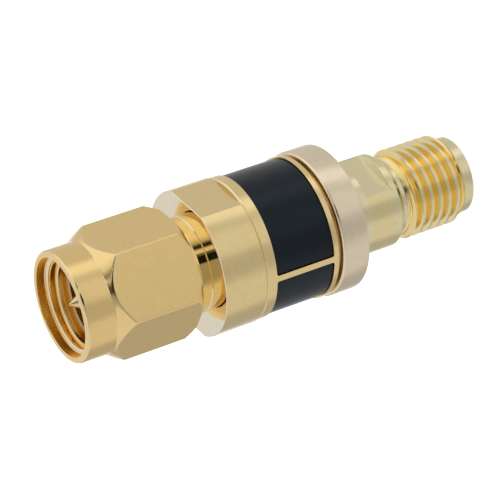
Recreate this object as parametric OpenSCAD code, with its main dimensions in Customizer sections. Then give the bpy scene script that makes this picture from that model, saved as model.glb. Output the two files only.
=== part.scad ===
// Coaxial fixed attenuator with a screw-on plug at one end and a matching jack at the other.
// It stands on the jack's end face: the axis is Z, the origin is the centre of that face,
// and the plug's mouth looks up. X is the normal of one wrench flat on the housing.

/* [Coaxial line] */
// Diameter of the plug's centre pin
pin_d = 0.91; // [0.85:0.01:1]
// Diameter of the centre conductor behind the pin and round the socket
core_d = 1.27; // [1.2:0.01:1.5]
// Bore of the outer conductor, filled by the insulators
line_d = 4.12; // [3.9:0.01:4.2]
// Outside diameter of the plug's front sleeve, which enters the jack's well
mate_d = 4.57; // [4.45:0.01:4.65]
// Step from the line bore out to the retaining flange of each insulator
bead_step = 0.3; // [0.2:0.01:0.4]
// Length of the retaining flange of each insulator
bead_len = 1; // [0.6:0.05:1.1]

/* [Jack] */
// Major diameter of the jack's outside thread, and of the thread in the nut
thread_d = 6.32; // [6.2:0.01:6.5]
// Pitch of both threads
thread_pitch = 0.7056; // [0.6:0.0001:0.8]
// Radial depth of the thread on the jack
jack_thread_depth = 0.38; // [0.3:0.01:0.4]
// Width of the flat at the bottom of each thread groove
groove_flat = 0.1; // [0.06:0.01:0.12]
// Length of the jack's threaded part
thread_len = 4.75; // [4:0.05:6]
// Length of the chamfer where the thread starts
thread_lead = 0.6; // [0.4:0.05:0.8]
// Length of the chamfer where the thread runs out
thread_tail = 0.42; // [0.3:0.01:0.6]
// Diameter of the plain end in front of the thread
pilot_d = 5.42; // [5.3:0.01:5.8]
// Length of the plain end in front of the thread
pilot_len = 0.75; // [0.5:0.05:1.2]
// Diameter of the relief neck behind the thread
relief_d = 5.3; // [5:0.05:5.8]
// Width of the relief neck behind the thread
relief_len = 0.35; // [0.25:0.05:0.6]
// Diameter of the jack's plain barrel
jack_d = 6.6; // [6.5:0.05:7.2]
// Length of the barrel from the relief neck to the collar
jack_len = 4.3; // [3.8:0.05:5.5]
// Chamfer on the barrel's edge at the relief neck
jack_chamfer = 0.5; // [0.3:0.05:0.6]
// Distance across the two flats on the barrel
jack_flats = 5.2; // [4.8:0.05:6]
// Length of the flats on the barrel
jack_flats_len = 1.95; // [1.5:0.05:2.4]
// Distance from the relief neck to the flats
jack_flats_up = 0.95; // [0.6:0.05:1.3]
// Turn of the jack's flats from the housing's flats
jack_turn = -16; // [-90:1:90]
// Depth of the well that takes the plug's sleeve
well_depth = 1.9; // [1.7:0.05:2.2]
// Length of the jack's pilot inside the housing
jack_pilot_len = 1.5; // [1.2:0.05:2]
// Depth of the bore in the spring socket
socket_depth = 2.6; // [2.4:0.05:3.2]
// Length of the slots in the spring socket
socket_slot_len = 2; // [1.5:0.05:2.3]
// Width of the slots in the spring socket
socket_slot_w = 0.13; // [0.08:0.01:0.16]

/* [Collar] */
// Outside diameter of the rear collar
collar_d = 10.24; // [9.8:0.02:11]
// Length of the rear collar
collar_len = 2.1; // [1.8:0.05:3]
// Chamfer on the collar's outer edges
collar_chamfer = 0.18; // [0.1:0.01:0.3]
// Thickness of the lip that holds the jack's flange
lip_len = 0.5; // [0.4:0.05:0.7]
// Thickness of the jack's flange
flange_len = 0.5; // [0.4:0.05:0.7]
// Groove left between the collar and the housing
collar_gap = 0.25; // [0.15:0.05:0.4]
// Wall of the collar round the housing's spigot and the jack's flange
collar_wall = 0.8; // [0.5:0.05:1]

/* [Housing] */
// Diameter of the rims that frame the labels
body_d = 10; // [9.7:0.05:10.6]
// Diameter of the front part with the wrench flats
front_d = 10.12; // [9.8:0.02:10.6]
// Length of the front part with the wrench flats
front_len = 3.08; // [2.6:0.02:4]
// Distance across the wrench flats
front_flats = 8.8; // [8.4:0.1:9.4]
// Edge break on the front face
front_chamfer = 0.12; // [0.05:0.01:0.2]
// Depth of the seam groove behind the front part
seam_depth = 0.1; // [0.05:0.01:0.15]
// Length of the rim in front of the labels
front_rim = 0.83; // [0.5:0.01:1.2]
// Length of the label pockets
label_len = 4.44; // [3.8:0.02:6]
// Length of the rim behind the labels
rear_rim = 0.43; // [0.3:0.01:0.8]
// Depth of the label pockets
pocket_depth = 0.3; // [0.2:0.01:0.4]
// Thickness of the labels
label_t = 0.16; // [0.1:0.01:0.2]
// Corner radius of the label pockets
label_corner = 0.45; // [0.2:0.05:0.8]
// Width of the land left between the two labels
land_w = 0.43; // [0.3:0.01:0.8]
// Turn of the lands away from the middle between the flats
label_turn = -4.6; // [-45:0.1:45]
// Bore that holds the two carriers
cavity_d = 5.8; // [5.5:0.05:6.2]

/* [Chip] */
// Thickness of the chip
chip_t = 0.38; // [0.25:0.01:0.55]
// Width of each chip edge clamped by the carriers
chip_ledge = 0.6; // [0.4:0.05:0.8]
// Distance from the chip's ends to the carriers' ends
chip_inset = 0.4; // [0.2:0.05:0.6]
// Free space round the centre conductor in the carriers' channel
channel_gap = 0.4; // [0.25:0.05:0.5]
// Length of chip held in each fork
fork_grip = 0.6; // [0.4:0.05:0.8]

/* [Plug] */
// Diameter of the shell inside the nut
shell_d = 6.6; // [6.5:0.02:6.7]
// Length of the shell from the housing's face to its shoulder
shell_len = 4.62; // [4.3:0.02:5]
// Chamfer between the shell and the housing's face
shell_chamfer = 0.18; // [0.1:0.01:0.25]
// Diameter of the shell's spigot in the housing
shell_spigot_d = 6; // [5.7:0.05:6.1]
// Length of the shell's spigot in the housing
shell_spigot_len = 2.3; // [1.8:0.05:2.6]
// Length of the front sleeve
sleeve_len = 2.3; // [2.1:0.05:2.8]
// Length of pin in front of the sleeve's face
pin_out = 1.9; // [1.5:0.05:2.4]
// Length of the pin's conical tip
pin_cone = 0.6; // [0.4:0.05:1]
// Diameter of the flat at the pin's tip
pin_tip_d = 0.14; // [0.1:0.02:0.3]

/* [Coupling nut] */
// Distance across the hexagon's flats
hex_af = 8; // [7.9:0.05:9]
// Length of the nut
nut_len = 8.35; // [7.8:0.05:9.5]
// Distance from the housing's face to the nut at rest
nut_gap = 1.17; // [0.8:0.01:1.5]
// How far the nut can be pushed forward
nut_play = 0.4; // [0.2:0.05:0.6]
// Length of the round skirt in front of the hexagon
skirt_len = 2.1; // [1.6:0.05:2.6]
// Wall of the skirt round the entry bore
skirt_wall = 0.4; // [0.35:0.01:0.5]
// Rounding of the skirt's outer edge
lip_r = 0.28; // [0.15:0.01:0.3]
// Depth of the plain entry bore
lead_len = 0.62; // [0.4:0.02:1]
// Radial room between the entry bore and the thread's major diameter
lead_room = 0.29; // [0.2:0.01:0.35]
// Slope of the chamfer cones at both ends of the hexagon, from the axis
cone_angle = 35; // [25:1:45]
// Radius of the nut's rear face
nut_rear_r = 4.15; // [4.05:0.01:4.4]
// Radial depth of the thread in the nut
thread_depth = 0.3; // [0.25:0.01:0.4]
// Radial room in the nut's grooves over the jack's thread crests
thread_room = 0.04; // [0.02:0.01:0.06]
// Axial room between the nut's inner step and the shell's shoulder at rest
nut_room = 0.4; // [0.2:0.05:0.6]
// Turn of the nut's hexagon from the housing's flats at rest
nut_turn = -3.4; // [-30:0.1:30]

/* [Snap ring] */
// Thickness of the snap ring along the axis
ring_t = 0.5; // [0.4:0.05:0.6]
// Height of the snap ring above the nut's rear face
ring_up = 1.15; // [0.9:0.05:1.4]
// Bite of the snap ring into the nut
ring_bite = 0.22; // [0.15:0.01:0.25]
// Bite of the snap ring into the shell
ring_hold = 0.37; // [0.25:0.01:0.45]
// Angle left open in the snap ring
ring_open = 35; // [20:1:60]

/* [Clearances] */
// Radial clearance of pieces that are fixed in each other
fit = 0.02; // [0.01:0.005:0.03]
// Radial running clearance of the nut on the shell
run_gap = 0.06; // [0.03:0.01:0.1]
// Clearance of the snap ring in its grooves
ring_gap = 0.06; // [0.04:0.01:0.1]
// Radial clearance of the jack's well round a plug's sleeve
mate_gap = 0.015; // [0.01:0.005:0.03]
// Radial clearance of the socket round a plug's pin
pin_gap = 0.01; // [0.005:0.005:0.02]
// Gap round the edge of each label
label_gap = 0.06; // [0.03:0.01:0.1]
// Small edge break on turned edges
edge = 0.08; // [0.04:0.01:0.1]

/* [Hidden] */
$fn = 128;

// Overshoot of cutting tools past the faces they open
cut = 1;

// Radii that follow from the line and its clearances
pin_r = pin_d / 2;
core_r = core_d / 2;
line_r = line_d / 2;
bead_r = line_r + bead_step;
mate_r = mate_d / 2;
well_r = mate_r + mate_gap;
socket_r = pin_r + pin_gap;

// Radii of the shells, the housing and the collar
thread_r = thread_d / 2;
pilot_r = pilot_d / 2;
relief_r = relief_d / 2;
jack_r = jack_d / 2;
collar_r = collar_d / 2;
spigot_r = collar_r - collar_wall - fit;
body_r = body_d / 2;
front_r = front_d / 2;
cavity_r = cavity_d / 2;
shell_r = shell_d / 2;
shell_spigot_r = shell_spigot_d / 2;
pocket_r = body_r - pocket_depth;
label_r = pocket_r + fit + label_t;

// Radii of the nut and of the snap ring's grooves
nut_bore_r = shell_r + run_gap;
minor_r = thread_r - thread_depth;
nut_thread_r = thread_r + thread_room;
lead_r = thread_r + lead_room;
skirt_r = lead_r + skirt_wall;
ring_out_r = nut_bore_r + ring_bite;
ring_in_r = shell_r - ring_hold;
nut_groove_r = ring_out_r + ring_gap;
shell_groove_r = ring_in_r - ring_gap;

// Heights from the jack's end face up to the nut's mouth
z_thread = pilot_len;
z_relief = z_thread + thread_len;
z_jack = z_relief + relief_len;
z_collar = z_jack + jack_len;
z_flange = z_collar + lip_len;
z_spigot = z_flange + flange_len;
z_collar_top = z_collar + collar_len;
z_rim = z_collar_top + collar_gap;
z_label = z_rim + rear_rim;
z_label_top = z_label + label_len;
z_front = z_label_top + front_rim;
z_face = z_front + front_len;
z_shoulder = z_face + shell_len;
z_sleeve = z_shoulder + sleeve_len;
z_pin = z_sleeve + pin_out;
z_nut = z_face + nut_gap;
z_mouth = z_nut + nut_len;
z_step = z_shoulder + nut_room;
z_ring = z_nut + ring_up;

// Heights of the pieces inside the housing
z_carrier = z_spigot + jack_pilot_len;
z_carrier_top = z_face - shell_spigot_len;
z_chip = z_carrier + chip_inset;
z_chip_top = z_carrier_top - chip_inset;
channel_r = core_r + channel_gap;
chip_half_w = channel_r + chip_ledge;
fork_slot = chip_t + 2 * fit;

// Solid of revolution from a closed outline of [radius, height] points
module turned(points) {
    rotate_extrude()
        polygon(points);
}

// Ring grooves with 60 degree flanks, one to a pitch, that stand for a thread between two heights
module thread_grooves(z0, z1, root_r, crest_r) {
    past_r = crest_r + sign(crest_r - root_r) * edge;
    half_mouth = groove_flat / 2 + abs(past_r - root_r) * tan(30);
    for (k = [1 : floor((z1 - z0) / thread_pitch)])
        translate([0, 0, z0 + (k - 0.5) * thread_pitch])
            turned([
                [root_r, -groove_flat / 2],
                [past_r, -half_mouth],
                [past_r, half_mouth],
                [root_r, groove_flat / 2]
            ]);
}

// Two parallel wrench flats: cuts away what lies outside the distance across them
module flats_cut(across, outer_r, z0, z1) {
    for (side = [0, 180])
        rotate([0, 0, side])
            translate([across / 2, -outer_r - cut, z0])
                cube([outer_r, 2 * (outer_r + cut), z1 - z0]);
}

// Block that reaches from one land round to the other, with round corners at both lands
module label_window(z0, z1, land, corner) {
    rotate([90, 0, 90])
        linear_extrude(height = 2 * (body_r + cut), center = true)
            union() {
                translate([land + corner, z0])
                    square([body_r + cut, z1 - z0]);
                translate([land, z0 + corner])
                    square([body_r + cut, z1 - z0 - 2 * corner]);
                for (z = [z0 + corner, z1 - corner])
                    translate([land + corner, z])
                        circle(r = corner);
            }
}

// Curved label for one pocket, set back from the pocket's edge all round
module label_plate() {
    intersection() {
        difference() {
            cylinder(r = label_r, h = z_mouth);
            translate([0, 0, -cut])
                cylinder(r = pocket_r + fit, h = z_mouth + 2 * cut);
        }
        label_window(z_label + label_gap, z_label_top - label_gap,
                     land_w / 2 + label_gap, label_corner - label_gap);
    }
}

// Half of the ground block: its flat side has a channel for the conductor and a seat for the chip's edge
module carrier_half() {
    difference() {
        translate([0, 0, z_carrier])
            cylinder(r = cavity_r - fit, h = z_carrier_top - z_carrier);
        translate([-2 * cavity_r, -cavity_r, z_carrier - cut])
            cube([2 * cavity_r, 2 * cavity_r, z_carrier_top - z_carrier + 2 * cut]);
        translate([-channel_r, -channel_r, z_carrier - cut])
            cube([2 * channel_r, 2 * channel_r, z_carrier_top - z_carrier + 2 * cut]);
        translate([-chip_t / 2, -chip_half_w - fit, z_chip - fit])
            cube([chip_t, 2 * (chip_half_w + fit), z_chip_top - z_chip + 2 * fit]);
    }
}

// Slot across the end of a centre conductor that grips the chip
module fork_cut(z0, z1) {
    translate([-fork_slot / 2, -core_r - cut, z0])
        cube([fork_slot, 2 * (core_r + cut), z1 - z0]);
}

// Outer conductor of the jack: threaded end, barrel with flats, flange and pilot
module jack_shell() {
    color("#d9cf9e")
        difference() {
            turned([
                [line_r, well_depth],
                [well_r, well_depth],
                [well_r, edge],
                [well_r + edge, 0],
                [pilot_r - edge, 0],
                [pilot_r, edge],
                [pilot_r, z_thread],
                [thread_r, z_thread + thread_lead],
                [thread_r, z_relief - thread_tail],
                [relief_r, z_relief],
                [relief_r, z_jack],
                [jack_r - jack_chamfer, z_jack],
                [jack_r, z_jack + jack_chamfer],
                [jack_r, z_flange],
                [spigot_r - edge, z_flange],
                [spigot_r, z_flange + edge],
                [spigot_r, z_spigot],
                [cavity_r - fit, z_spigot],
                [cavity_r - fit, z_carrier],
                [bead_r, z_carrier],
                [bead_r, z_carrier - bead_len],
                [line_r, z_carrier - bead_len]
            ]);
            thread_grooves(z_thread + thread_lead - thread_pitch / 2, z_relief,
                           thread_r - jack_thread_depth, thread_r);
            rotate([0, 0, jack_turn])
                flats_cut(jack_flats, jack_r, z_jack + jack_flats_up, z_jack + jack_flats_up + jack_flats_len);
        }
}

// Insulator of the jack, flush with the floor of the well
module jack_insulator() {
    color("#f1efe8")
        turned([
            [core_r + fit, well_depth],
            [line_r - fit, well_depth],
            [line_r - fit, z_carrier - bead_len],
            [bead_r - fit, z_carrier - bead_len],
            [bead_r - fit, z_carrier],
            [core_r + fit, z_carrier]
        ]);
}

// Centre contact of the jack: slotted socket at the front, fork on the chip at the rear
module jack_contact() {
    color("#e0bf6a")
        difference() {
            turned([
                [0, well_depth + socket_depth],
                [socket_r, well_depth + socket_depth],
                [socket_r, well_depth + edge],
                [socket_r + edge, well_depth],
                [core_r, well_depth],
                [core_r, z_chip + fork_grip],
                [0, z_chip + fork_grip]
            ]);
            for (turn = [0, 90])
                rotate([0, 0, turn])
                    translate([-socket_slot_w / 2, -core_r - cut, well_depth - cut])
                        cube([socket_slot_w, 2 * (core_r + cut), socket_slot_len + cut]);
            fork_cut(z_chip - fit, z_chip + fork_grip + cut);
        }
}

// Satin collar on the housing's spigot; its lip holds the jack's flange
module rear_collar() {
    color("#d6c0a4")
        turned([
            [jack_r + fit, z_collar],
            [collar_r - collar_chamfer, z_collar],
            [collar_r, z_collar + collar_chamfer],
            [collar_r, z_collar_top - collar_chamfer],
            [collar_r - collar_chamfer, z_collar_top],
            [spigot_r + fit, z_collar_top],
            [spigot_r + fit, z_flange],
            [jack_r + fit, z_flange]
        ]);
}

// Main body: wrench flats in front, label pockets between two rims, spigot for the collar behind
module housing() {
    color("#cdb57e")
        difference() {
            turned([
                [cavity_r, z_spigot],
                [spigot_r, z_spigot],
                [spigot_r, z_rim],
                [body_r - edge, z_rim],
                [body_r, z_rim + edge],
                [body_r, z_front - seam_depth],
                [body_r - seam_depth, z_front],
                [front_r, z_front + seam_depth],
                [front_r, z_face - front_chamfer],
                [front_r - front_chamfer, z_face],
                [shell_spigot_r + fit, z_face],
                [shell_spigot_r + fit, z_carrier_top],
                [cavity_r, z_carrier_top]
            ]);
            flats_cut(front_flats, front_r, z_front, z_face + cut);
            rotate([0, 0, label_turn])
                for (side = [0, 180])
                    rotate([0, 0, side - 90])
                        difference() {
                            label_window(z_label, z_label_top, land_w / 2, label_corner);
                            cylinder(r = pocket_r, h = z_mouth);
                        }
        }
}

// Label in the pocket above the +X flat
module label_front() {
    color("#262b33")
        rotate([0, 0, label_turn - 90])
            label_plate();
}

// Label in the opposite pocket
module label_back() {
    color("#262b33")
        rotate([0, 0, label_turn + 90])
            label_plate();
}

// Ground block on the +X side of the chip
module carrier_right() {
    color("#c9a75c")
        carrier_half();
}

// Ground block on the -X side of the chip
module carrier_left() {
    color("#c9a75c")
        rotate([0, 0, 180])
            carrier_half();
}

// Ceramic chip with the resistor pad, clamped by its long edges
module attenuator_chip() {
    color("#ece7da")
        translate([-chip_t / 2, -chip_half_w, z_chip])
            cube([chip_t, 2 * chip_half_w, z_chip_top - z_chip]);
}

// Outer conductor of the plug: spigot, shell with the snap ring's groove, front sleeve
module plug_shell() {
    color("#dcb65a")
        turned([
            [bead_r, z_carrier_top],
            [shell_spigot_r, z_carrier_top],
            [shell_spigot_r, z_face],
            [shell_r - shell_chamfer, z_face],
            [shell_r, z_face + shell_chamfer],
            [shell_r, z_ring - ring_gap],
            [shell_groove_r, z_ring - ring_gap],
            [shell_groove_r, z_ring + ring_t + nut_play + ring_gap],
            [shell_r, z_ring + ring_t + nut_play + ring_gap],
            [shell_r, z_shoulder - edge],
            [shell_r - edge, z_shoulder],
            [mate_r, z_shoulder],
            [mate_r, z_sleeve - edge],
            [mate_r - edge, z_sleeve],
            [line_r, z_sleeve],
            [line_r, z_carrier_top + bead_len],
            [bead_r, z_carrier_top + bead_len]
        ]);
}

// Insulator of the plug, flush with the sleeve's face
module plug_insulator() {
    color("#f1efe8")
        turned([
            [core_r + fit, z_carrier_top],
            [bead_r - fit, z_carrier_top],
            [bead_r - fit, z_carrier_top + bead_len],
            [line_r - fit, z_carrier_top + bead_len],
            [line_r - fit, z_sleeve],
            [core_r + fit, z_sleeve]
        ]);
}

// Centre contact of the plug: pin with a conical tip, fork on the chip at the rear
module plug_pin() {
    color("#e0bf6a")
        difference() {
            turned([
                [0, z_chip_top - fork_grip],
                [core_r, z_chip_top - fork_grip],
                [core_r, z_sleeve],
                [pin_r, z_sleeve],
                [pin_r, z_pin - pin_cone],
                [pin_tip_d / 2, z_pin],
                [0, z_pin]
            ]);
            fork_cut(z_chip_top - fork_grip - cut, z_chip_top + fit);
        }
}

// Split spring ring that joins the nut to the shell
module snap_ring() {
    color("#c79a4b")
        rotate([0, 0, ring_open / 2])
            rotate_extrude(angle = 360 - ring_open)
                translate([ring_in_r, z_ring])
                    square([ring_out_r - ring_in_r, ring_t]);
}

// Outside of the nut: hexagon with a chamfer cone at each end, and the round skirt with its rounded edge
module nut_outside() {
    cone_slope = tan(cone_angle);
    hex_len = nut_len - skirt_len;
    translate([0, 0, z_nut])
        intersection() {
            rotate([0, 0, nut_turn + 30])
                cylinder(r = hex_af / sqrt(3), h = nut_len, $fn = 6);
            cylinder(r1 = nut_rear_r, r2 = nut_rear_r + nut_len * cone_slope, h = nut_len);
            cylinder(r1 = skirt_r + hex_len * cone_slope, r2 = skirt_r - skirt_len * cone_slope, h = nut_len);
        }
    rotate_extrude()
        union() {
            translate([0, z_nut])
                square([skirt_r, nut_len - lip_r]);
            translate([0, z_nut])
                square([skirt_r - lip_r, nut_len]);
            translate([skirt_r - lip_r, z_mouth - lip_r])
                circle(r = lip_r);
        }
}

// Coupling nut: free on the shell, held by the snap ring, threaded behind its plain entry bore
module coupling_nut() {
    step_len = nut_bore_r - minor_r;
    lead_cone = (lead_r - minor_r) * tan(30);
    color("#cdb57e")
        difference() {
            nut_outside();
            turned([
                [0, z_nut - cut],
                [nut_bore_r + edge, z_nut - cut],
                [nut_bore_r + edge, z_nut],
                [nut_bore_r, z_nut + edge],
                [nut_bore_r, z_ring - ring_gap],
                [nut_groove_r, z_ring - ring_gap],
                [nut_groove_r, z_ring + ring_t + ring_gap],
                [nut_bore_r, z_ring + ring_t + ring_gap],
                [nut_bore_r, z_step],
                [minor_r, z_step + step_len],
                [minor_r, z_mouth - lead_len - lead_cone],
                [lead_r, z_mouth - lead_len],
                [lead_r, z_mouth - edge / 2],
                [lead_r + edge / 2, z_mouth],
                [lead_r + edge / 2, z_mouth + cut],
                [0, z_mouth + cut]
            ]);
            thread_grooves(z_step + step_len, z_mouth - lead_len - lead_cone, nut_thread_r, minor_r);
        }
}

jack_shell();
jack_insulator();
jack_contact();
rear_collar();
housing();
label_front();
label_back();
carrier_right();
carrier_left();
attenuator_chip();
plug_shell();
plug_insulator();
plug_pin();
snap_ring();
coupling_nut();
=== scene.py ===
import math
import bmesh
import bpy
from mathutils import Matrix, Vector


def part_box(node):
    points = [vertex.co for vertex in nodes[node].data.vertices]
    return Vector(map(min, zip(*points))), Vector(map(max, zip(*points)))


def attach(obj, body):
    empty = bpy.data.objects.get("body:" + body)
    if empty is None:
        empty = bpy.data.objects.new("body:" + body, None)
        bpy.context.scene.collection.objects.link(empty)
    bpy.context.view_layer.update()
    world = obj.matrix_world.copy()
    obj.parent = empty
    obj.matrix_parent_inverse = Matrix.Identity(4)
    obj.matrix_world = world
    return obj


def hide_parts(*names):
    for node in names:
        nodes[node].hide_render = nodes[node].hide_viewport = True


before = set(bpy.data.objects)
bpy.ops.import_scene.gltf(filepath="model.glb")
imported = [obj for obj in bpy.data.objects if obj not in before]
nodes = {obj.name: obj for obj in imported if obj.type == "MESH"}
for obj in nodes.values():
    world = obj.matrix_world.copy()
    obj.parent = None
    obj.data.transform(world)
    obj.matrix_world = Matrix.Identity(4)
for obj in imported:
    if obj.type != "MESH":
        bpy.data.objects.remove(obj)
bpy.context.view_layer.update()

# Jack shell: the outer conductor at the foot, turned from brass bar and thinly plated pale gold.
# It has a plain pilot, a quarter-inch fine thread, a relief neck, a barrel with two small flats
# and a flange that the collar clamps. Sizes here and below are in millimetres.
mm = 0.001
thread_pitch = 0.7056
thread_flat = 0.2
rows_per_pitch = 20
jack_columns = 240
jack_thread_z = (0.75, 5.4)
jack_lead = 0.5
jack_tail = 0.4
jack_pilot_r = 2.71
jack_crest_r = 3.16
jack_root_r = 2.76
neck_r = 2.65
neck_z = (5.5, 5.85)
shoulder_r = 2.8
barrel_r = 3.3
barrel_z = 6.35
jack_half_flats = 2.6
jack_flats_at = math.radians(-16)
jack_flats_z = (6.8, 8.75)
flats_round = 0.03
flange_r = 4.3
flange_z = (10.65, 11.15)
flange_chamfer = 0.08
rear_pilot_r = 2.88
rear_bore_r = 2.36
rear_bore_z = 11.65
bead_bore_r = 2.06
well_r = 2.3
well_z = 1.9
foot_chamfer = 0.08
jack_foot, jack_top = (corner.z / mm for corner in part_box("jack_shell"))
weld_gap = 0.0002
smooth_limit = math.radians(30)
slack = 0.01
end_facing = 0.9


def eased(corners, steps=4):
    """Outline of (radius, height) points from (radius, height, rounding) corners, roundings as arcs."""
    outline = []
    for i, (radius, height, rounding) in enumerate(corners):
        here = Vector((radius, height))
        to_last = Vector(corners[i - 1][:2]) - here
        to_next = Vector(corners[(i + 1) % len(corners)][:2]) - here
        if rounding == 0:
            outline.append(here)
            continue
        room = 0.45 * min(to_last.length, to_next.length)
        if room < 1e-6:
            outline += [here] * (steps + 1)
            continue
        half = to_last.angle(to_next) / 2
        run = min(rounding / math.tan(half), room)
        start = here + to_last.normalized() * run
        end = here + to_next.normalized() * run
        inward = (to_last.normalized() + to_next.normalized()).normalized()
        centre = here + inward * (run / math.cos(half))
        first = start - centre
        last = end - centre
        sweep = math.atan2(first.x * last.y - first.y * last.x, first.dot(last))
        for k in range(steps + 1):
            turn = Matrix.Rotation(sweep * k / steps, 2)
            outline.append(centre + turn @ first)
    return outline


def turned_skin(columns, open_after=None, whole=True):
    """Skin through columns of (angle, outline), all round or capped; open_after leaves one strip out."""
    skin = bmesh.new()
    rings = []
    for angle, outline in columns:
        east = math.cos(angle) * mm
        north = math.sin(angle) * mm
        ring = [skin.verts.new((radius * east, radius * north, height * mm)) for radius, height in outline]
        rings.append(ring)
    if not whole:
        skin.faces.new(rings[0])
        skin.faces.new(rings[-1])
    for left, right in zip(rings, rings[1:] + rings[:whole]):
        for i in range(len(left)):
            if i != open_after:
                j = (i + 1) % len(left)
                skin.faces.new((left[i], right[i], right[j], left[j])).smooth = True
    return skin


def measured_faces(skin):
    """Each face with its lowest and highest place along the axis and its least and greatest radius."""
    for face in skin.faces:
        face.normal_update()
        heights = [vert.co.z / mm for vert in face.verts]
        radii = [vert.co.xy.length / mm for vert in face.verts]
        yield face, min(heights), max(heights), min(radii), max(radii)


def finished_piece(name, skin, materials, body, replaced):
    """Welds a skin, shades it as turned metal and sets it on its body in the place of a solid."""
    bmesh.ops.remove_doubles(skin, verts=skin.verts, dist=weld_gap * mm)
    bmesh.ops.dissolve_degenerate(skin, edges=skin.edges, dist=weld_gap * mm / 2)
    bmesh.ops.recalc_face_normals(skin, faces=skin.faces)
    mesh = bpy.data.meshes.new(name)
    rounded = [face.smooth for face in skin.faces]
    skin.to_mesh(mesh)
    skin.free()
    mesh.set_sharp_from_angle(angle=smooth_limit)
    mesh.polygons.foreach_set("use_smooth", rounded)
    for material in materials:
        mesh.materials.append(material)
    piece = bpy.data.objects.new(name, mesh)
    bpy.context.scene.collection.objects.link(piece)
    shading = piece.modifiers.new("even_shading", "WEIGHTED_NORMAL")
    shading.keep_sharp = True
    graph = bpy.context.evaluated_depsgraph_get()
    piece_mesh = bpy.data.meshes.new_from_object(piece.evaluated_get(graph), depsgraph=graph)
    piece.modifiers.clear()
    piece.data = piece_mesh
    bpy.data.meshes.remove(mesh)
    piece_mesh.name = name
    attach(piece, body)
    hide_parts(replaced)


class TreeBuilder:
    """Adds nodes to one tree; mix_places are the Mix node's two inputs and its output for each kind."""
    mix_places = {"FLOAT": (2, 3, 0), "RGBA": (6, 7, 2)}

    def __init__(self, tree):
        self.tree = tree

    def fill(self, socket, value):
        """Links an input to another socket, or sets its value."""
        if isinstance(value, bpy.types.NodeSocket):
            self.tree.links.new(value, socket)
        else:
            socket.default_value = value

    def add(self, kind, *first_inputs, **named):
        """A node: values fill its first inputs, Capital_Names other inputs, plain names its properties."""
        node = self.tree.nodes.new(kind)
        for name, value in named.items():
            if name[0].islower():
                setattr(node, name, value)
        for name, value in named.items():
            if not name[0].islower():
                self.fill(node.inputs[name.replace("_", " ")], value)
        for socket, value in zip(node.inputs, first_inputs):
            self.fill(socket, value)
        return node

    def maths(self, operation, *values):
        """Result of a Math node."""
        return self.add("ShaderNodeMath", *values, operation=operation).outputs[0]

    def vector(self, operation, *values):
        """Result of a Vector Math node: a number for a length or a dot product, else a vector."""
        node = self.add("ShaderNodeVectorMath", *values, operation=operation)
        return node.outputs["Value" if operation in ("LENGTH", "DOT_PRODUCT") else "Vector"]

    def ramp(self, *values, **properties):
        """Result of a Map Range node on a value, its range and the range it goes to."""
        return self.add("ShaderNodeMapRange", *values, **properties).outputs[0]

    def mixed(self, kind, share, first, second):
        """Number or colour between two others."""
        node = self.add("ShaderNodeMix", share, data_type=kind)
        first_place, second_place, result = self.mix_places[kind]
        self.fill(node.inputs[first_place], first)
        self.fill(node.inputs[second_place], second)
        return node.outputs[result]

    def noise(self, **inputs):
        """Cloudy value of a Noise Texture node."""
        return self.add("ShaderNodeTexNoise", **inputs).outputs[0]

    def place(self):
        """Place on the piece, in metres."""
        return self.add("ShaderNodeTexCoord").outputs["Object"]

    def levelled(self, vector):
        """The same vector with no height."""
        return self.vector("MULTIPLY", vector, (1.0, 1.0, 0.0))


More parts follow.
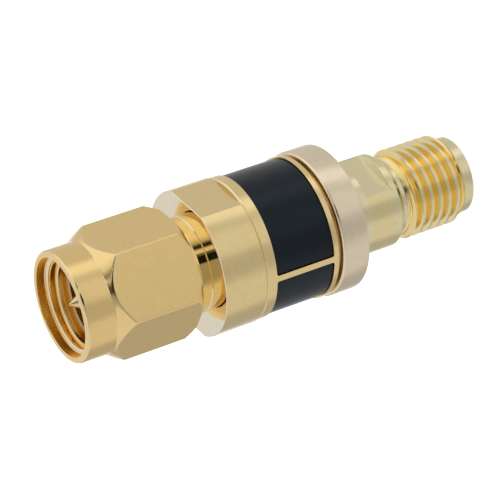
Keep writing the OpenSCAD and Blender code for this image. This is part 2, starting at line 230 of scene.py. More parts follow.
def screw_thread_tree():
    """Geometry nodes for a screw thread: a grid is wound round the axis and climbs one pitch a turn."""
    tree = bpy.data.node_groups.new("screw_thread", "GeometryNodeTree")
    tree.interface.new_socket("Geometry", in_out="OUTPUT", socket_type="NodeSocketGeometry")
    for kind, labels in (
            ("Int", ("Columns", "Rows")),
            ("Float", ("Rows per Pitch", "First Angle", "Pitch", "Start", "End", "Start Radius", "End Radius",
                       "Lead", "Tail", "Crest Radius", "Root Radius", "Flat")),
            ("Material", ("Finish",))):
        for label in labels:
            tree.interface.new_socket(label, in_out="INPUT", socket_type="NodeSocket" + kind)
    build = TreeBuilder(tree)
    maths = build.maths
    given = build.add("NodeGroupInput").outputs
    grid = build.add("GeometryNodeMeshGrid", Size_X=1.0, Size_Y=1.0, Vertices_Y=given["Rows"],
                     Vertices_X=maths("ADD", given["Columns"], 1.0))
    spot = build.add("ShaderNodeSeparateXYZ", build.add("GeometryNodeInputPosition").outputs[0]).outputs
    around = maths("ADD", spot["X"], 0.5)
    last_row = maths("SUBTRACT", given["Rows"], 1.0)
    row = maths("ROUND", maths("MULTIPLY", maths("ADD", spot["Y"], 0.5), last_row))
    turns = maths("DIVIDE", row, given["Rows per Pitch"])
    climb = maths("MULTIPLY", maths("SUBTRACT", maths("ADD", turns, around), 1.0), given["Pitch"])
    risen = maths("MAXIMUM", maths("ADD", given["Start"], climb), given["Start"])
    height = maths("MINIMUM", risen, given["End"])
    wave = maths("MULTIPLY", maths("PINGPONG", turns, 0.5), 2.0)
    flank = build.ramp(wave, given["Flat"], maths("SUBTRACT", 1.0, given["Flat"]),
                       given["Root Radius"], given["Crest Radius"])
    led_in = build.ramp(height, given["Start"], maths("ADD", given["Start"], given["Lead"]))
    run_out = build.ramp(height, maths("SUBTRACT", given["End"], given["Tail"]), given["End"])
    rise = maths("SUBTRACT", flank, given["Start Radius"])
    begun = maths("ADD", given["Start Radius"], maths("MULTIPLY", led_in, rise))
    fall = maths("SUBTRACT", given["End Radius"], begun)
    radius = maths("ADD", begun, maths("MULTIPLY", run_out, fall))
    angle = maths("ADD", given["First Angle"], maths("MULTIPLY", around, math.tau))
    wound = build.add("ShaderNodeCombineXYZ", maths("MULTIPLY", radius, maths("COSINE", angle)),
                      maths("MULTIPLY", radius, maths("SINE", angle)), height)
    wind = build.add("GeometryNodeSetPosition", Geometry=grid.outputs["Mesh"], Position=wound.outputs[0])
    weld = build.add("GeometryNodeMergeByDistance", Geometry=wind.outputs[0], Distance=weld_gap * mm)
    real = build.add("GeometryNodeRealizeInstances", Geometry=weld.outputs[0])
    finish = build.add("GeometryNodeSetMaterial", Geometry=real.outputs[0], Material=given["Finish"])
    build.add("NodeGroupOutput", Geometry=finish.outputs[0])
    return tree


thread_tree = screw_thread_tree()


def add_thread(skin, columns, first_angle, finish, **sizes):
    """Winds a thread with the tree's named sizes and adds it to a skin, as its second material."""
    turns = (sizes["end"] - sizes["start"]) / thread_pitch + 1
    entries = {name: size * mm for name, size in sizes.items()}
    entries |= {"columns": columns, "rows": math.ceil(turns * rows_per_pitch) + 2, "finish": finish,
                "rows_per_pitch": float(rows_per_pitch), "first_angle": first_angle,
                "pitch": thread_pitch * mm, "flat": thread_flat}
    plain = set(skin.faces)
    holder = bpy.data.objects.new("thread_blank", bpy.data.meshes.new("thread_blank"))
    bpy.context.scene.collection.objects.link(holder)
    cutter = holder.modifiers.new("thread", "NODES")
    cutter.node_group = thread_tree
    for item in thread_tree.interface.items_tree:
        if item.in_out == "INPUT":
            cutter[item.identifier] = entries[item.name.lower().replace(" ", "_")]
    graph = bpy.context.evaluated_depsgraph_get()
    cut = bpy.data.meshes.new_from_object(holder.evaluated_get(graph), depsgraph=graph)
    holder.modifiers.clear()
    skin.from_mesh(cut)
    for face in skin.faces:
        if face not in plain:
            face.material_index = 1
            face.smooth = True
    blank = holder.data
    bpy.data.objects.remove(holder)
    bpy.data.meshes.remove(blank)
    bpy.data.meshes.remove(cut)


def satin_grain_group():
    """Fine blasted grain and faint turning lines: a height for bump, and a value that shifts roughness."""
    group = bpy.data.node_groups.new("satin_grain", "ShaderNodeTree")
    for label in ("Grain Size", "Line Size", "Line Share", "Roughness", "Roughness Spread"):
        group.interface.new_socket(label, in_out="INPUT", socket_type="NodeSocketFloat")
    for label in ("Height", "Roughness"):
        group.interface.new_socket(label, in_out="OUTPUT", socket_type="NodeSocketFloat")
    build = TreeBuilder(group)
    given = build.add("NodeGroupInput").outputs
    spot = build.place()
    fine = build.maths("DIVIDE", 1.0, given["Grain Size"])
    coarse = build.maths("DIVIDE", 1.0, given["Line Size"])
    grain = build.noise(noise_dimensions="3D", Vector=spot, Scale=fine, Detail=2.0)
    out = build.vector("LENGTH", build.levelled(spot))
    along = build.add("ShaderNodeSeparateXYZ", spot).outputs["Z"]
    rings = build.add("ShaderNodeCombineXYZ", out, along).outputs[0]
    lines = build.noise(noise_dimensions="2D", Vector=rings, Scale=coarse, Detail=2.0)
    height = build.mixed("FLOAT", given["Line Share"], grain, lines)
    shift = build.maths("SUBTRACT", height, 0.5)
    spread = build.maths("MULTIPLY", shift, given["Roughness Spread"])
    build.add("NodeGroupOutput", Height=height, Roughness=build.maths("ADD", given["Roughness"], spread))
    return group


def plating_tint_and_root_shade_group():
    """Fine drift between two tones of a plating, and a deeper tone painted as shade at one end of a range of
    radii.
    """
    group = bpy.data.node_groups.new("plating_tint", "ShaderNodeTree")
    for kind, labels in (("Color", ("Plating", "Drift", "Deep")),
                         ("Float", ("Drift Size", "Deep Radius", "Clear Radius"))):
        for label in labels:
            group.interface.new_socket(label, in_out="INPUT", socket_type="NodeSocket" + kind)
    group.interface.new_socket("Color", in_out="OUTPUT", socket_type="NodeSocketColor")
    build = TreeBuilder(group)
    given = build.add("NodeGroupInput").outputs
    spot = build.place()
    scale = build.maths("DIVIDE", 1.0, given["Drift Size"])
    cloud = build.noise(noise_dimensions="3D", Vector=spot, Scale=scale, Detail=7.0, Roughness=0.72)
    share = build.ramp(cloud, 0.3, 0.7)
    tint = build.mixed("RGBA", share, given["Plating"], given["Drift"])
    out = build.vector("LENGTH", build.levelled(spot))
    clear = build.ramp(out, given["Deep Radius"], given["Clear Radius"])
    build.add("NodeGroupOutput", Color=build.mixed("RGBA", clear, given["Deep"], tint))
    return group


satin_grain = satin_grain_group()
plating_tint = plating_tint_and_root_shade_group()
drift_size = 0.4
drift_wear = 0.95
turning_line = 0.05


def new_material(name):
    """An empty node material, and the builder of its tree."""
    material = bpy.data.materials.new(name)
    material.use_nodes = True
    material.node_tree.nodes.clear()
    return material, TreeBuilder(material.node_tree)


def plated_metal(name, plating, drift, roughness, deep=None, painted_root_shade_radii=(0.0, 0.01),
                 grain=0.06, line_share=0.4, relief=0.001, spread=0.08):
    """Gold-plated metal with its own tones, sheen and grain, a little duller in worn patches, and a deeper
    tone painted as shade towards one end of a range of radii if given.
    """
    material, build = new_material(name)
    worn = tuple(drift_wear * part for part in drift)
    tone = build.add("ShaderNodeGroup", node_tree=plating_tint, Plating=(*plating, 1), Drift=(*worn, 1),
                     Deep=(*(deep or plating), 1), Drift_Size=drift_size * mm,
                     Deep_Radius=painted_root_shade_radii[0] * mm, Clear_Radius=painted_root_shade_radii[1] * mm)
    skin = build.add("ShaderNodeGroup", node_tree=satin_grain, Grain_Size=grain * mm,
                     Line_Size=turning_line * mm, Line_Share=line_share, Roughness=roughness,
                     Roughness_Spread=spread)
    bump = build.add("ShaderNodeBump", Strength=0.25, Distance=relief * mm, Height=skin.outputs["Height"])
    surface = build.add("ShaderNodeBsdfPrincipled", Base_Color=tone.outputs["Color"], Metallic=1.0,
                        Roughness=skin.outputs["Roughness"], Normal=bump.outputs[0])
    build.add("ShaderNodeOutputMaterial", Surface=surface.outputs[0])
    return material


pale_gold_and_seam_highlight = plated_metal("pale_gold_plating", (0.90, 0.80, 0.49), (0.88, 0.79, 0.50), 0.22)
# The thread's roots are painted a deep orange as painted shade of the light bouncing between the flanks; the
# crests keep the pale plating.
thread_gold_and_root_shade = plated_metal("thread_gold_plating", (0.88, 0.79, 0.52), (0.86, 0.77, 0.50), 0.16,
                           deep=(0.97, 0.72, 0.26), painted_root_shade_radii=(2.9, 3.15))
barrel_gold = plated_metal("barrel_gold_plating", (0.93, 0.78, 0.42), (0.91, 0.77, 0.43), 0.20)
# Near-white on the end walls of the jack's flats: a painted highlight line where the flats meet the barrel.
flat_end_painted_highlight = plated_metal("milled_pale_gold", (0.98, 0.96, 0.86), (0.97, 0.95, 0.85), 0.5)
on_barrel = 2
on_flat_ends = 3


def flatted_r(angle, flats_at, half_flats, round_r):
    """Radius at an angle of a round bar with two opposite flats."""
    off = (angle - flats_at + math.pi / 2) % math.pi - math.pi / 2
    on_flat = abs(off) < math.acos(half_flats / round_r)
    return half_flats / math.cos(off) if on_flat else round_r


def jack_outline(angle):
    """Jack profile at one angle, from the ends of the thread up to the rear pilot and back down the bore."""
    flat_r = flatted_r(angle, jack_flats_at, jack_half_flats, barrel_r)
    low, high = jack_flats_z
    foot_edge = jack_foot + foot_chamfer
    thread_ends = [Vector((jack_pilot_r, jack_thread_z[0])), Vector((jack_root_r, jack_thread_z[1]))]
    return thread_ends + eased([
        (neck_r, neck_z[0], 0.08), (neck_r, neck_z[1], 0.05), (shoulder_r, neck_z[1], 0.06),
        (barrel_r, barrel_z, 0.1), (barrel_r, low, flats_round), (flat_r, low, flats_round),
        (flat_r, high, flats_round), (barrel_r, high, flats_round), (barrel_r, flange_z[0], 0),
        (flange_r - flange_chamfer, flange_z[0], 0), (flange_r, flange_z[0] + flange_chamfer, 0),
        (flange_r, flange_z[1], 0), (rear_pilot_r, flange_z[1], 0), (rear_pilot_r, jack_top, 0),
        (rear_bore_r, jack_top, 0), (rear_bore_r, rear_bore_z, 0), (bead_bore_r, rear_bore_z, 0),
        (bead_bore_r, well_z, 0), (well_r, well_z, 0), (well_r, foot_edge, 0.05),
        (well_r + foot_chamfer, jack_foot, 0.04), (jack_pilot_r - foot_chamfer, jack_foot, 0.04),
        (jack_pilot_r, foot_edge, 0.05)])


jack_angles = [math.tau * i / jack_columns for i in range(jack_columns)]
jack_skin = turned_skin([(angle, jack_outline(angle)) for angle in jack_angles], open_after=0)
add_thread(jack_skin, jack_columns, 0.0, thread_gold_and_root_shade, start=jack_thread_z[0], end=jack_thread_z[1],
           start_radius=jack_pilot_r, end_radius=jack_root_r, lead=jack_lead, tail=jack_tail,
           crest_radius=jack_crest_r, root_radius=jack_root_r)
flats_low = jack_flats_z[0] - flats_round - slack
flats_high = jack_flats_z[1] + flats_round + slack
for face, low, high, near, far in measured_faces(jack_skin):
    if flats_low < low and high < flats_high:
        middle_r = face.calc_center_median().xy.length / mm
        if near > barrel_r - slack:
            face.material_index = on_barrel
        # The end walls of the flats take the near-white painted highlight.
        elif abs(face.normal.z) > end_facing and middle_r > jack_half_flats:
            face.material_index = on_flat_ends
finished_piece("jack_shell_turned", jack_skin, [pale_gold_and_seam_highlight, thread_gold_and_root_shade, barrel_gold, flat_end_painted_highlight],
               "attenuator", "jack_shell")

# Insulators: two white PTFE beads, machined from rod and pressed into the shells. They carry the
# centre contacts and finish flush with the sleeve and with the floor of the jack's well.
ptfe, build = new_material("white_ptfe")
waxy = build.add("ShaderNodeGroup", node_tree=satin_grain, Grain_Size=0.12 * mm, Line_Size=0.1 * mm,
                 Line_Share=0.7, Roughness=0.5, Roughness_Spread=0.2)
clouds = build.noise(Vector=build.place(), Scale=700.0, Detail=3.0)
whites = build.mixed("RGBA", clouds, (0.86, 0.85, 0.81, 1), (0.80, 0.785, 0.74, 1))
lathe_lines = build.add("ShaderNodeBump", Strength=0.3, Distance=0.004 * mm, Height=waxy.outputs["Height"])
plastic = build.add("ShaderNodeBsdfPrincipled", Base_Color=whites, Roughness=waxy.outputs["Roughness"],
                    Normal=lathe_lines.outputs[0], Subsurface_Weight=0.15,
                    Subsurface_Radius=(0.4 * mm, 0.4 * mm, 0.3 * mm))
build.add("ShaderNodeOutputMaterial", Surface=plastic.outputs[0])


def refinish(node, material):
    """Gives a solid that keeps its own form a procedural finish."""
    nodes[node].data.materials.clear()
    nodes[node].data.materials.append(material)


for bead in ("jack_insulator", "plug_insulator"):
    refinish(bead, ptfe)

# Centre contacts: the jack's slotted spring socket and the plug's pin with its conical tip,
# turned from beryllium copper and plated with hard gold. Each grips the chip with a small fork.
# The same gold is painted on the nut's entry chamfer as a highlight line.
contact_gold_and_entry_highlight = plated_metal("hard_gold_contact", (0.93, 0.82, 0.60), (0.91, 0.79, 0.57), 0.12,
                            line_share=0.8, spread=0.06)
pin_gold = plated_metal("pin_gold", (0.84, 0.69, 0.41), (0.82, 0.67, 0.39), 0.2,
                        line_share=0.8, spread=0.06)
refinish("jack_contact", contact_gold_and_entry_highlight)
refinish("plug_pin", pin_gold)

# Attenuator chip and its ground blocks: a white alumina plate clamped by its long edges between
# two half-round blocks in the housing's bore. None of it shows on the finished part.
alumina, build = new_material("white_alumina")
sintered = build.noise(Vector=build.place(), Scale=9000.0, Detail=3.0)
chalk = build.mixed("RGBA", sintered, (0.86, 0.84, 0.78, 1), (0.74, 0.72, 0.66, 1))
ceramic = build.add("ShaderNodeBsdfPrincipled", Base_Color=chalk, Roughness=0.6)
build.add("ShaderNodeOutputMaterial", Surface=ceramic.outputs[0])
refinish("attenuator_chip", alumina)
for block in ("carrier_right", "carrier_left"):
    refinish(block, contact_gold_and_entry_highlight)

# Housing: the main body, turned from brass and gold plated. Its front part has two wrench flats
# and a polished face, a fine seam divides it from the barrel, and two shallow pockets between
# thin rims take the labels.
gold = plated_metal("gold_plating", (0.94, 0.735, 0.37), (0.92, 0.715, 0.355), 0.20)
bright_face_and_shell_highlight = plated_metal("bright_faced_metal", (0.91, 0.82, 0.64), (0.89, 0.80, 0.62), 0.06,
                           line_share=0.9, relief=0.0005, spread=0.03)
milled_gold = plated_metal("milled_gold", (0.74, 0.58, 0.30), (0.72, 0.56, 0.29), 0.5)
on_face = 1
on_seam_wall = 2
on_seam_chamfer = 3
chamfer_facing = 0.5
house_foot, house_face = (corner.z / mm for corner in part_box("housing"))
house_columns_round = 240
house_bore_r = 2.9
seat_r = 3.02
seat_z = 18.98
spigot_r = 4.3
body_r = 5.0
rim_z = 12.5
front_r = 5.06
front_half_flats = 4.66
front_flats_at = math.radians(-6.6)
face_chamfer = 0.04
seam_z = 18.2
seam_depth = 0.1
seam_gap = 0.05
seam_chamfer = 0.09
seam_wall_z = seam_z - seam_gap
seam_chamfer_z = seam_wall_z - seam_chamfer
pocket_r = 4.7
pocket_z = (12.93, 17.37)
pocket_corner = 0.15
corner_steps = 6
land_half = 0.215
land_angle = land_half / body_r
label_turn = math.radians(-4.6)


def housing_outline(angle, floor_r, low, high):
    """Housing profile at one angle; the pocket's floor there and its lower and upper end are given."""
    front = flatted_r(angle, front_flats_at, front_half_flats, front_r)
    groove = min(front, body_r - seam_depth)
    return eased([
        (house_bore_r, house_foot, 0), (spigot_r, house_foot, 0), (spigot_r, rim_z, 0.04),
        (body_r, rim_z, 0.1), (body_r, low, 0), (floor_r, low, 0), (floor_r, high, 0), (body_r, high, 0),
        (body_r, seam_chamfer_z, 0), (body_r - seam_chamfer, seam_wall_z, 0), (groove, seam_wall_z, 0),
        (groove, seam_z, 0), (front, seam_z, 0.02), (front, house_face - face_chamfer, 0),
        (front - face_chamfer, house_face, 0), (seat_r, house_face, 0), (seat_r, seat_z, 0),
        (house_bore_r, seat_z, 0)])


def corner_arc(radius):
    """Points of a pocket's or label's round corner: how far in from its side, and from its end."""
    turns = [math.pi / 2 * k / corner_steps for k in range(corner_steps + 1)]
    return [(radius * (1 - math.cos(turn)), radius * (1 - math.sin(turn))) for turn in turns]


def land_offset(angle):
    """Angle from the middle of the nearer land between the labels."""
    return abs((angle - label_turn) % math.pi - math.pi / 2)


def land_first(column):
    """Order round the axis; at a pocket's side the land's own column stays on the land."""
    angle, inset = column
    past_middle = (angle - label_turn) % math.pi > math.pi / 2
    return round(angle, 7), (inset is not None) == past_middle


house_angles = {math.tau * i / house_columns_round for i in range(house_columns_round)}
front_half = math.acos(front_half_flats / front_r)
corner_span = land_angle + pocket_corner / body_r
corner_room = 1e-4
pocket_columns = []
for side in (0.0, math.pi):
    middle = label_turn + math.pi / 2 + side
    for sign in (-1, 1):
        house_angles.add((front_flats_at + side + sign * front_half) % math.tau)
        pocket_columns.append(((middle + sign * land_angle) % math.tau, None))
        for inward, inset in corner_arc(pocket_corner):
            off = land_angle + inward / body_r
            pocket_columns.append(((middle + sign * off) % math.tau, inset))
house_columns = [(angle, None if land_offset(angle) < land_angle else 0.0) for angle in house_angles
                 if not land_angle - corner_room < land_offset(angle) < corner_span + corner_room]
house_columns = sorted(house_columns + pocket_columns, key=land_first)
house_profiles = []
for angle, inset in house_columns:
    floor_r = body_r if inset is None else pocket_r
    end_inset = pocket_corner if inset is None else inset
    profile = housing_outline(angle, floor_r, pocket_z[0] + end_inset, pocket_z[1] - end_inset)
    house_profiles.append((angle, profile))
house_skin = turned_skin(house_profiles)
for face, low, high, near, far in measured_faces(house_skin):
    if low > house_face - face_chamfer - slack:
        face.material_index = on_face
    elif abs(low - seam_wall_z) < slack and abs(face.normal.z) > end_facing:
        face.material_index = on_seam_wall
    # The seam's chamfer takes the paler jack plating, a painted highlight line along the seam.
    elif abs(low - seam_chamfer_z) < slack and abs(face.normal.z) > chamfer_facing:
        face.material_index = on_seam_chamfer
finished_piece("housing_turned", house_skin, [gold, bright_face_and_shell_highlight, milled_gold, pale_gold_and_seam_highlight],
               "attenuator", "housing")

# Labels: two curved dark films in the housing's pockets, vinyl with a satin overlay, glued down
# with a thin even gap all round. They are bare.
film, build = new_material("dark_label_film")
texture = build.add("ShaderNodeGroup", node_tree=satin_grain, Grain_Size=0.09 * mm, Line_Size=0.3 * mm,
                    Line_Share=0.2, Roughness=0.26, Roughness_Spread=0.15)
rub = build.noise(Vector=build.place(), Scale=600.0, Detail=4.0)
inks = build.mixed("RGBA", rub, (0.0020, 0.0030, 0.0050, 1), (0.0035, 0.0045, 0.0070, 1))
orange_peel = build.add("ShaderNodeBump", Strength=0.2, Distance=0.004 * mm, Height=texture.outputs["Height"])
vinyl = build.add("ShaderNodeBsdfPrincipled", Base_Color=inks, Roughness=texture.outputs["Roughness"],
                  Normal=orange_peel.outputs[0], Specular_IOR_Level=0.36, Specular_Tint=(0.68, 0.86, 1.0, 1))
build.add("ShaderNodeOutputMaterial", Surface=vinyl.outputs[0])
label_inner_r = 4.72
label_outer_r = 4.88
label_gap = 0.06
label_corner = 0.12
label_steps = 40
label_z = (pocket_z[0] + label_gap, pocket_z[1] - label_gap)
label_half = math.pi / 2 - (land_half + label_gap) / body_r
label_ends = [(label_half - inward / body_r, inset) for inward, inset in corner_arc(label_corner)]
label_straight = label_ends[-1][0]
label_columns = [(-off, inset) for off, inset in label_ends]
label_columns += [(label_straight * (k / label_steps - 1), 0.0) for k in range(1, 2 * label_steps)]
label_columns += label_ends[::-1]


def label_outline(inset):
    """Section of a label whose two ends are drawn in."""
    low, high = label_z[0] + inset, label_z[1] - inset
    return [(label_inner_r, low), (label_outer_r, low), (label_outer_r, high), (label_inner_r, high)]


for label, middle in (("label_front", label_turn), ("label_back", label_turn + math.pi)):
    label_profiles = [(middle + off, label_outline(inset)) for off, inset in label_columns]
    label_skin = turned_skin(label_profiles, whole=False)
    finished_piece(label + "_film", label_skin, [film], "attenuator", label)

# Rear collar: a turned ring with a satin, slightly rosy plating, screwed on the housing's spigot.
# Its inner lip clamps the jack's flange, and a narrow groove is left before the housing's rim.
rosy_gold = plated_metal("satin_rosy_plating", (0.93, 0.79, 0.58), (0.91, 0.77, 0.575), 0.26,
                         grain=0.08, line_share=0.3)
collar_low, collar_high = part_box("rear_collar")
collar_r = collar_high.x / mm
collar_z = (collar_low.z / mm, collar_high.z / mm)
collar_round = 0.2
collar_columns = 240
collar_bore_r = 4.32
collar_lip_r = 3.32


def even_columns(count, outline):
    """The same outline at evenly spaced angles."""
    return [(math.tau * i / count, outline) for i in range(count)]


collar_outline = eased([
    (collar_lip_r, collar_z[0], 0.05), (collar_r, collar_z[0], collar_round),
    (collar_r, collar_z[1], collar_round), (collar_bore_r, collar_z[1], 0.05),
    (collar_bore_r, flange_z[0], 0), (collar_lip_r, flange_z[0], 0)], steps=6)
finished_piece("rear_collar_turned", turned_skin(even_columns(collar_columns, collar_outline)), [rosy_gold],
               "attenuator", "rear_collar")

# Plug shell: the outer conductor of the plug, pressed into the housing's face. The polished ring
# between the face and the nut is its plain part; its thin sleeve stands inside the nut.
polished_gold = plated_metal("polished_gold", (0.97, 0.71, 0.27), (0.95, 0.69, 0.25), 0.04,
                             line_share=0.9, relief=0.0005, spread=0.03)
shell_low, shell_high = (corner.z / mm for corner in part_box("plug_shell"))
shell_columns = 180
shell_r = 3.3
shell_seat_r = 3.0
shell_fillet = 0.05
shell_groove_r = 2.87
shell_groove_z = (23.54, 24.56)
sleeve_r = 2.285
sleeve_z = 25.9
bead_stop_z = 19.98
shell_outline = eased([
    (rear_bore_r, shell_low, 0), (shell_seat_r, shell_low, 0), (shell_seat_r, house_face, 0),
    (shell_r + shell_fillet, house_face, 0), (shell_r, house_face + shell_fillet, 0),
    (shell_r, shell_groove_z[0], 0.03), (shell_groove_r, shell_groove_z[0], 0),
    (shell_groove_r, shell_groove_z[1], 0), (shell_r, shell_groove_z[1], 0.03), (shell_r, sleeve_z, 0.08),
    (sleeve_r, sleeve_z, 0.05), (sleeve_r, shell_high, 0.08), (bead_bore_r, shell_high, 0.03),
    (bead_bore_r, bead_stop_z, 0), (rear_bore_r, bead_stop_z, 0)])
shell_skin = turned_skin(even_columns(shell_columns, shell_outline))
for face, low, high, near, far in measured_faces(shell_skin):
    # The chamfer at the shell's foot takes the pale bright-faced metal, a painted highlight line where the
    # ring meets the face.
    on_fillet = low > house_face - slack and high < house_face + shell_fillet + slack
    face.material_index = int(on_fillet)
finished_piece("plug_shell_turned", shell_skin, [polished_gold, bright_face_and_shell_highlight],
               "attenuator", "plug_shell")

# Snap ring: a split ring of flat spring bronze in matching grooves of the shell and the nut. It
# holds the nut on, and lets it spin and slide a little.
spring_bronze = plated_metal("spring_bronze", (0.62, 0.36, 0.14), (0.55, 0.31, 0.12), 0.32, line_share=0.6)
refinish("snap_ring", spring_bronze)

# Coupling nut: turned from hexagon bar and gold plated, with a chamfer cone at both ends of the
# hexagon, a round skirt with a rolled lip, a plain entry and an inside thread. It spins freely.
nut_gold = plated_metal("nut_gold_plating", (0.98, 0.71, 0.31), (0.97, 0.70, 0.30), 0.20)
# The bore's thread is paler than the outside on its crests and painted a deep orange in its roots, painted
# shade of the light bouncing there.
bore_gold_and_root_shade = plated_metal("bore_gold_plating", (0.94, 0.78, 0.48), (0.92, 0.76, 0.46), 0.2,
                         deep=(0.97, 0.58, 0.12), painted_root_shade_radii=(3.0, 2.88), spread=0.05)
# The entry's wall is painted a saturated orange: a painted reflection of the gold bore, light bounced round
# inside the mouth.
entry_painted_reflection = plated_metal("entry_gold_plating", (1.0, 0.62, 0.12), (0.94, 0.56, 0.10), 0.27)
edge_gold = plated_metal("burnished_gold_edges", (0.96, 0.74, 0.38), (0.94, 0.72, 0.36), 0.15, spread=0.04)
in_bore = 1
on_edge = 2
on_entry_chamfer = 3
in_entry = 4
side_slack = 0.001
step_facing = 0.99
wall_facing = 0.1
edge_lean = (3, 88)
lean_slack = 1.5
nut_low, nut_mouth = (corner.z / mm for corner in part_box("coupling_nut"))
nut_columns = 360
nut_first = math.radians(26.6)
hex_half = 4.0
hex_round = 0.15
hex_side = math.pi / 3
cone_lean = 35
cone_slope = math.tan(math.radians(cone_lean))
nut_rear_r = 4.15
nut_bore_r = 3.36
nut_groove_r = 3.64
nut_groove_z = (shell_groove_z[0], 24.16)
nut_step_z = 26.3
skirt_r = 3.85
skirt_length = 2.1
skirt_z = nut_mouth - skirt_length
lip_round = 0.34
lead_r = 3.38
lead_depth = 0.6
lead_z = nut_mouth - lead_depth
outside_r = lead_r + 0.05
entry_r = 3.06
entry_chamfer = 0.14
entry_land = 0.05
entry_chamfer_z = lead_z - entry_chamfer
minor_r = 2.86
major_r = 3.2
nut_lead = 0.3
nut_tail = 0.15
nut_thread_z = (nut_step_z + nut_bore_r - minor_r, entry_chamfer_z - entry_land)


def hexagon_r(angle):
    """Radius of the hexagon at an angle, with its six edges rounded."""
    off = abs((angle - nut_first + hex_side / 2) % hex_side - hex_side / 2)
    centre = (hex_half - hex_round) / math.cos(hex_side / 2)
    tangent = math.atan2(hex_round / 2, centre + hex_round * math.cos(hex_side / 2))
    if off > tangent:
        return hex_half / math.cos(hex_side / 2 - off)
    return centre * math.cos(off) + math.sqrt(hex_round ** 2 - (centre * math.sin(off)) ** 2)


def nut_outline(angle):
    """Nut profile at one angle, from the ends of the thread round the outside and back up the bore."""
    hexagon = hexagon_r(angle)
    rear_r = min(hexagon, nut_rear_r)
    rear_z = nut_low + (hexagon - rear_r) / cone_slope
    front_z = skirt_z - (hexagon - skirt_r) / cone_slope
    thread_ends = [Vector((minor_r, nut_thread_z[0])), Vector((entry_r, nut_thread_z[1]))]
    return thread_ends + eased([
        (entry_r, entry_chamfer_z, 0.02), (lead_r, lead_z, 0), (lead_r, nut_mouth, 0.05),
        (skirt_r, nut_mouth, lip_round), (skirt_r, skirt_z, 0.15), (hexagon, front_z, 0.35),
        (hexagon, rear_z, 0.06), (rear_r, nut_low, 0.06), (nut_bore_r, nut_low, 0.06),
        (nut_bore_r, nut_groove_z[0], 0), (nut_groove_r, nut_groove_z[0], 0),
        (nut_groove_r, nut_groove_z[1], 0), (nut_bore_r, nut_groove_z[1], 0),
        (nut_bore_r, nut_step_z, 0)], steps=5)


nut_angles = [nut_first + math.tau * i / nut_columns for i in range(nut_columns)]
nut_skin = turned_skin([(angle, nut_outline(angle)) for angle in nut_angles], open_after=0)
add_thread(nut_skin, nut_columns, nut_first, bore_gold_and_root_shade, start=nut_thread_z[0], end=nut_thread_z[1],
           start_radius=minor_r, end_radius=entry_r, lead=nut_lead, tail=nut_tail,
           crest_radius=minor_r, root_radius=major_r)
for face, low, high, near, far in measured_faces(nut_skin):
    facing = math.atan2(face.normal.y, face.normal.x)
    off_side = (facing - nut_first) % hex_side - hex_side / 2
    if abs(off_side) < side_slack and abs(face.normal.z) < side_slack:
        face.smooth = False
    if far < lead_r + slack and low > nut_step_z:
        face.material_index = in_bore if abs(face.normal.z) < step_facing else 0
        # Past the chamfer's foot, the entry's wall takes the orange painted reflection, and its chamfer the
        # paler contact gold as a painted highlight line.
        if low > entry_chamfer_z - slack:
            face.material_index = in_entry if abs(face.normal.z) < wall_facing else on_entry_chamfer
    lean = abs(math.degrees(math.asin(face.normal.z)))
    middle_r = face.calc_center_median().xy.length / mm
    leaning = edge_lean[0] < lean < edge_lean[1] and abs(lean - cone_lean) > lean_slack
    if leaning and middle_r > outside_r:
        face.material_index = on_edge
finished_piece("coupling_nut_turned", nut_skin, [nut_gold, bore_gold_and_root_shade, edge_gold, contact_gold_and_entry_highlight, entry_painted_reflection],
               "nut", "coupling_nut")

# Studio: a white paper floor under the part, a white backdrop and a lit cloth tent round both,
# which the camera doesn't see. The cloth is brighter above the part as it is seen and dim round
# the lens, and the metal mirrors it. The floor shows white and keeps the shadow.
scene = bpy.context.scene
scene.view_settings.view_transform = "Standard"
up_azimuth = math.radians(30)
view_up = Vector((math.cos(up_azimuth), math.sin(up_azimuth), 0))
view_near = Vector((math.sin(up_azimuth), -math.cos(up_azimuth), 0))
upright = Vector((0, 0, 1))
floor_half = 500 * mm
floor_grey = 0.85
floor_glow = 0.75
tent_r = 4000 * mm
tent_grey = 0.8


def seen_share(build):
    """1 for what is seen, straight or in metal and glass, and 0 for what only lights."""
    path = build.add("ShaderNodeLightPath").outputs
    mirrored = build.maths("MAXIMUM", path["Is Glossy Ray"], path["Is Transmission Ray"])
    return build.maths("MAXIMUM", path["Is Camera Ray"], mirrored)


floor_corners = [(x * floor_half, y * floor_half, 0) for x, y in ((-1, -1), (1, -1), (1, 1), (-1, 1))]
floor_mesh = bpy.data.meshes.new("studio_floor")
floor_mesh.from_pydata(floor_corners, [], [(0, 1, 2, 3)])
floor = bpy.data.objects.new("studio_floor", floor_mesh)
scene.collection.objects.link(floor)
floor.visible_glossy = False
paper, build = new_material("white_paper")
matte = build.add("ShaderNodeBsdfDiffuse", Color=(floor_grey, floor_grey, floor_grey, 1))
glow = build.add("ShaderNodeEmission", Strength=build.maths("MULTIPLY", seen_share(build), floor_glow))
both = build.add("ShaderNodeAddShader", matte.outputs[0], glow.outputs[0])
build.add("ShaderNodeOutputMaterial", Surface=both.outputs[0])
floor_mesh.materials.append(paper)

white = bpy.data.worlds.new("white_backdrop")
scene.world = white
white.use_nodes = True
white.node_tree.nodes.clear()
build = TreeBuilder(white.node_tree)
backdrop = build.add("ShaderNodeBackground", Color=(1, 1, 1, 1), Strength=seen_share(build))
build.add("ShaderNodeOutputWorld", Surface=backdrop.outputs[0])

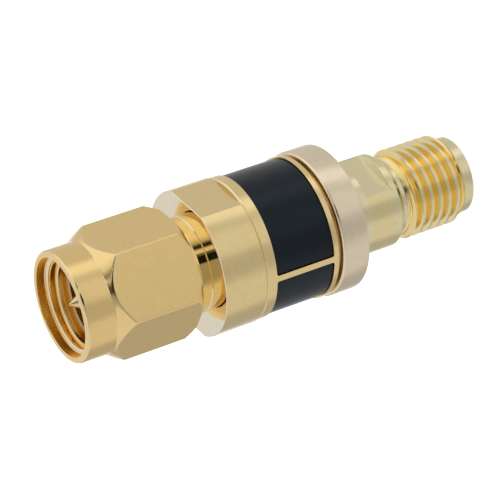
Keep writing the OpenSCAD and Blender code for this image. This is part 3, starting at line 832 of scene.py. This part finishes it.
tent_mesh = bpy.data.meshes.new("light_tent")
tent_shell = bmesh.new()
bmesh.ops.create_icosphere(tent_shell, subdivisions=4, radius=tent_r)
tent_shell.to_mesh(tent_mesh)
tent_shell.free()
tent = bpy.data.objects.new("light_tent", tent_mesh)
scene.collection.objects.link(tent)
tent.visible_camera = False
tent.visible_transmission = False
cloth, build = new_material("lit_tent_cloth")
tent_mesh.materials.append(cloth)
look = build.vector("NORMALIZE", build.place())
level_look = build.vector("NORMALIZE", build.levelled(look))
look_height = build.add("ShaderNodeSeparateXYZ", look).outputs["Z"]


def round_part(degrees, raised=0):
    """Direction at an angle from the top of the part as it is seen towards the viewer, raised by another."""
    turn = math.radians(degrees)
    return math.cos(turn) * view_up + math.sin(turn) * view_near + math.tan(math.radians(raised)) * upright


def patch(seen, direction, inner, outer, strength):
    """Light round a direction, full within one angle from it and gone beyond another (degrees)."""
    facing = build.vector("DOT_PRODUCT", seen, tuple(direction.normalized()))
    return build.ramp(facing, math.cos(math.radians(outer)), math.cos(math.radians(inner)), 0.0, strength,
                      interpolation_type="SMOOTHSTEP")


def patched(start, patches):
    """A start level with patches of light or shade added."""
    total = start
    for extra in patches:
        total = build.maths("ADD", total, extra)
    return total


def patched_walls(start, walls):
    """A start level with upright patches: the angle round the part, inner and outer angle, strength."""
    return patched(start, [patch(level_look, round_part(turn), inner, outer, strength)
                           for turn, inner, outer, strength in walls])


def above(low, high):
    """Goes from 0 to 1 between two heights above the level, in degrees."""
    return build.ramp(look_height, math.sin(math.radians(low)), math.sin(math.radians(high)), 0.0, 1.0,
                      interpolation_type="SMOOTHSTEP")


walls = patched_walls(0.78, ((30, 5, 17, 0.42), (80, 14, 26, 0.14), (116, 10, 26, -0.15),
                             (168, 22, 34, 0.08), (222, 12, 34, -0.20), (270, 10, 30, 0.35)))
overhead = patched(0.95, (patch(look, round_part(5, raised=25), 20, 45, 0.25),
                          patch(look, upright, 8, 20, -0.1)))
ceiling = build.mixed("FLOAT", above(0, 17), walls, overhead)
lens_side = patched_walls(0.19, ((54, 7, 10, -0.175), (71, 3, 6, 0.8), (90, 7, 10, -0.175),
                                 (132, 30, 34, 0.3)))
far_band = build.mixed("FLOAT", above(27, 34), above(6, 12), 0.0)
far_side = build.maths("MULTIPLY", patch(level_look, round_part(100), 36, 64, 1.0), far_band)
dimmed = build.mixed("FLOAT", far_side, ceiling, 0.48)
level = build.mixed("FLOAT", patch(look, round_part(90, raised=28), 27, 37, 1.0), dimmed, lens_side)
light = build.add("ShaderNodeEmission", Color=(tent_grey, tent_grey, tent_grey, 1), Strength=level)
build.add("ShaderNodeOutputMaterial", Surface=light.outputs[0])

# Camera: a long lens from above the mouth, turned so that the mouth comes to the lower left. The
# mouth's centre stands at a measured place in the camera's own axes, in millimetres.
lens = bpy.data.cameras.new("camera")
lens.lens = 187.2
lens.sensor_width = 36.0
lens.clip_start = 1 * mm
lens.clip_end = 10000 * mm
tilt = math.radians(25.38)
slant = math.radians(-18.92)
mouth_right = -12.27
mouth_down = 3.74
mouth_ahead = 167.89
ahead = -math.sin(tilt) * upright - math.cos(tilt) * view_near
across = -math.cos(tilt) * upright + math.sin(tilt) * view_near
right = math.cos(slant) * across + math.sin(slant) * view_up
down = math.sin(slant) * across - math.cos(slant) * view_up
stand = (nut_mouth * upright - right * mouth_right - down * mouth_down - ahead * mouth_ahead) * mm
camera = bpy.data.objects.new("camera", lens)
scene.collection.objects.link(camera)
camera.matrix_world = Matrix((
    (right.x, -down.x, -ahead.x, stand.x),
    (right.y, -down.y, -ahead.y, stand.y),
    (right.z, -down.z, -ahead.z, stand.z),
    (0, 0, 0, 1)))
scene.camera = camera
